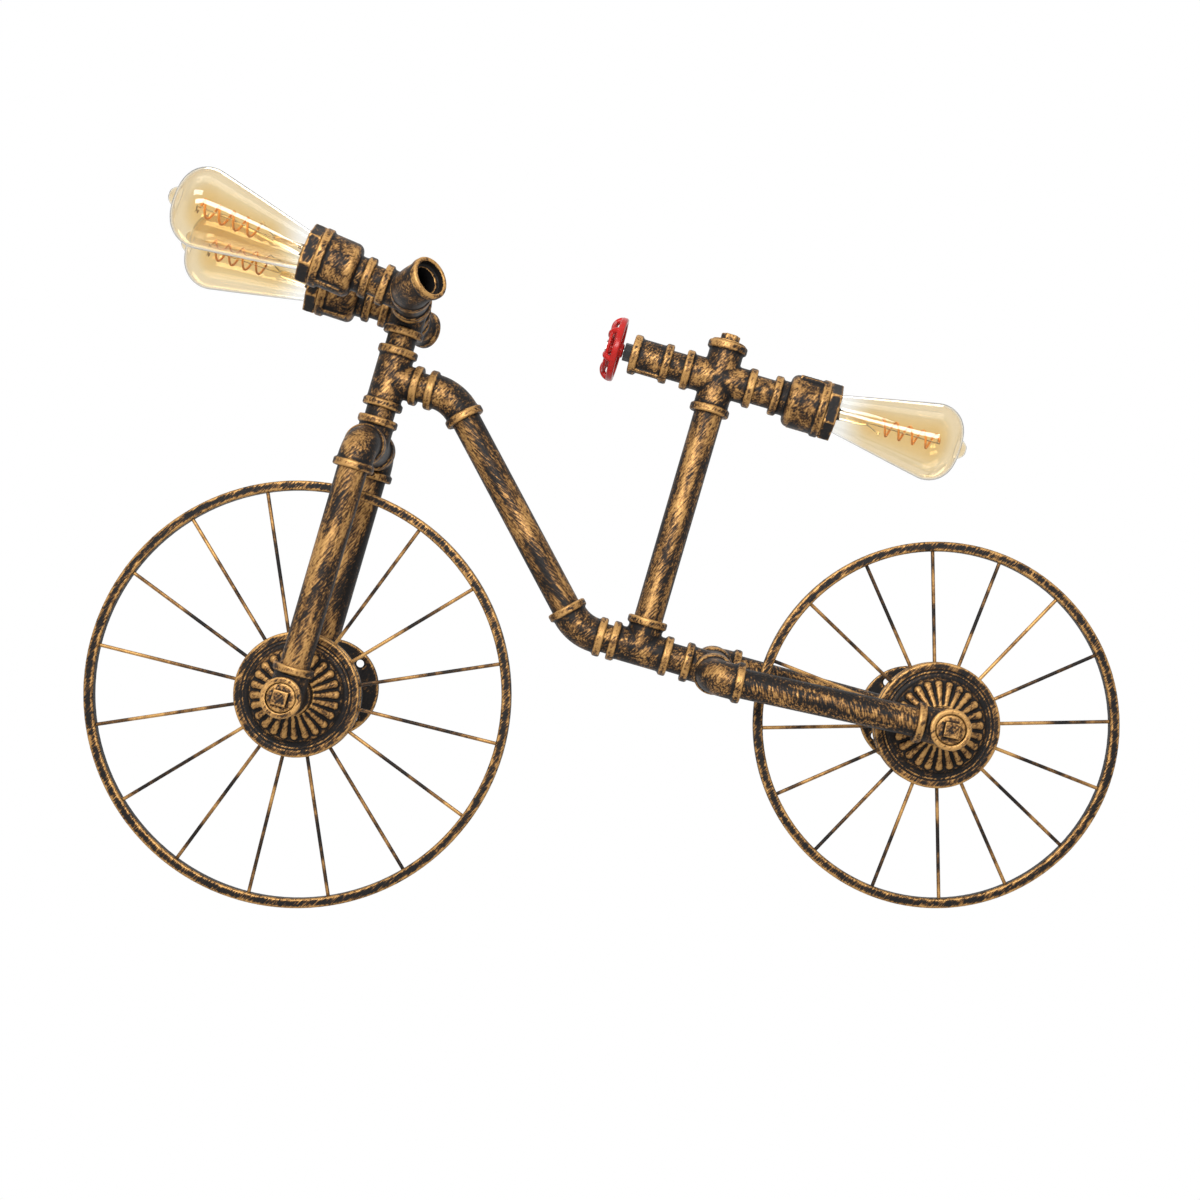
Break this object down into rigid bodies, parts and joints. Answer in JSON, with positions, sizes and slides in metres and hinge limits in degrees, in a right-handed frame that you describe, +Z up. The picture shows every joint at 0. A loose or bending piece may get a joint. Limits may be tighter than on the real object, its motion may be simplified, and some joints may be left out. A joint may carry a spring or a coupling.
{
  "type": "wall sconce",
  "caption": "Bicycle-shaped industrial pipe wall lamp with spoked wheels, bare teardrop filament bulbs and a red valve-wheel switch",
  "frame": {"origin": "centre of the front wall flange, on the wall plane, on the front axle line", "axes": "X along the wall from the front wheel to the rear wheel, Y out of the back of the lamp into the wall, Z up"},
  "size_m": [0.8477, 0.2794, 0.585],
  "materials": {
    "brushed_bronze": "black undercoat with gold-bronze paint brushed over it by hand",
    "dark_bronze": "black undercoat with little bronze brushed over it",
    "black_plastic": "matt black",
    "red_paint": "glossy red enamel",
    "amber_glass": "clear amber-tinted glass",
    "plain_brass": "plain drawn brass",
    "filament": "orange coating over a light strip",
    "holder": "unglazed ceramic"
  },
  "bodies": {
    "frame": {"front_wall_flange": "dark_bronze", "rear_wall_flange": "dark_bronze", "standoff_pipes": "brushed_bronze", "front_axle": "brushed_bronze", "rear_axle": "brushed_bronze", "axle_plugs": "brushed_bronze", "fork_end_tees": "brushed_bronze", "fork_legs": "brushed_bronze", "fork_elbows": "brushed_bronze", "fork_crown_tee": "brushed_bronze", "pipe_nipples": "brushed_bronze", "head_tee": "brushed_bronze", "handlebar_tee": "brushed_bronze", "lamp_tees": "brushed_bronze", "near_grip_elbow": "brushed_bronze", "far_grip_elbow": "brushed_bronze", "near_lamp_cup": "brushed_bronze", "far_lamp_cup": "brushed_bronze", "rear_lamp_cup": "brushed_bronze", "cup_bushes": "dark_bronze", "lamp_holders": "holder", "upper_elbow": "brushed_bronze", "down_tube": "brushed_bronze", "lower_elbow": "brushed_bronze", "bottom_tee": "brushed_bronze", "seat_tube": "brushed_bronze", "seat_cross": "brushed_bronze", "seat_plug": "brushed_bronze", "switch_coupling": "brushed_bronze", "switch_body": "black_plastic", "switch_bush": "black_plastic", "rear_tee": "brushed_bronze", "stay_elbows": "brushed_bronze", "chain_stays": "brushed_bronze", "stay_end_tees": "brushed_bronze"},
    "handwheel": {"handwheel": "red_paint", "switch_spindle": "plain_brass", "handwheel_nut": "plain_brass"},
    "front_wheel": {"front_rim": "brushed_bronze", "front_spokes": "brushed_bronze", "front_hub_discs": "brushed_bronze", "front_hub_sleeve": "dark_bronze"},
    "rear_wheel": {"rear_rim": "brushed_bronze", "rear_spokes": "brushed_bronze", "rear_hub_discs": "brushed_bronze", "rear_hub_sleeve": "dark_bronze"},
    "near_bulb": {"near_bulb_glass": "amber_glass", "near_bulb_cap": "plain_brass", "near_filament": "filament", "near_filament_supports": "plain_brass"},
    "far_bulb": {"far_bulb_glass": "amber_glass", "far_bulb_cap": "plain_brass", "far_filament": "filament", "far_filament_supports": "plain_brass"},
    "rear_bulb": {"rear_bulb_glass": "amber_glass", "rear_bulb_cap": "plain_brass", "rear_filament": "filament", "rear_filament_supports": "plain_brass"}
  },
  "joints": [
    {"name": "handwheel_turn", "type": "hinge", "parent": "frame", "child": "handwheel", "pos_m": [0.27343, -0.14735, 0.27915], "axis": [-0.9598, 0, 0.2807], "range_deg": [0, 90]},
    {"name": "front_wheel_spin", "type": "hinge", "parent": "frame", "child": "front_wheel", "pos_m": [0, -0.14735, 0], "axis": [0, -1, 0], "continuous": true},
    {"name": "rear_wheel_spin", "type": "hinge", "parent": "frame", "child": "rear_wheel", "pos_m": [0.52272, -0.14735, -0.025], "axis": [0, -1, 0], "continuous": true},
    {"name": "near_bulb_out", "type": "slide", "parent": "frame", "child": "near_bulb", "axis": [-0.9179, -0.1385, 0.3719], "range_m": [0, 0.03]},
    {"name": "far_bulb_out", "type": "slide", "parent": "frame", "child": "far_bulb", "axis": [-0.9449, -0.1391, 0.2963], "range_m": [0, 0.03]},
    {"name": "rear_bulb_out", "type": "slide", "parent": "frame", "child": "rear_bulb", "axis": [0.9598, 0, -0.2807], "range_m": [0, 0.03]}
  ]
}
